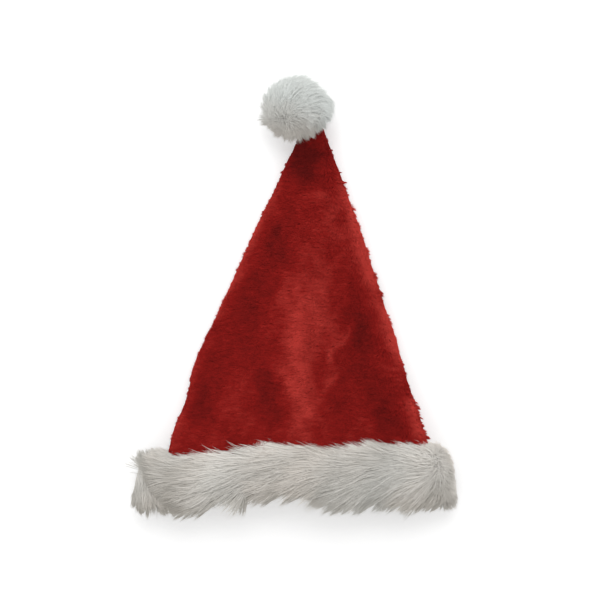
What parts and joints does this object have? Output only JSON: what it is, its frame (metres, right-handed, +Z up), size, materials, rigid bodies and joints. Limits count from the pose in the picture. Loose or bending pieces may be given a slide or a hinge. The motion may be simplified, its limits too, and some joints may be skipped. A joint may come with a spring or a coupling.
{
  "type": "santa hat",
  "caption": "Plush cone hat lying flat on its back, with a folded long-pile fur band round its open mouth and a fur pompom on its tip.",
  "frame": {"origin": "on the floor under the middle of the hat's box, as it lies on its back", "axes": "+X across the hat to the wearer's left as it lies face up, +Y from the mouth to the pompom, +Z up from the floor"},
  "size_m": [0.333, 0.4498, 0.0572],
  "materials": {
    "red_plush": "short-pile plush, brushed, matte with a soft sheen",
    "white_fur": "long-pile faux fur, combed, soft sheen"
  },
  "bodies": {
    "root": {"crown_front": "red_plush", "crown_back": "red_plush", "fur_trim": "white_fur", "pompom": "white_fur"}
  },
  "joints": []
}
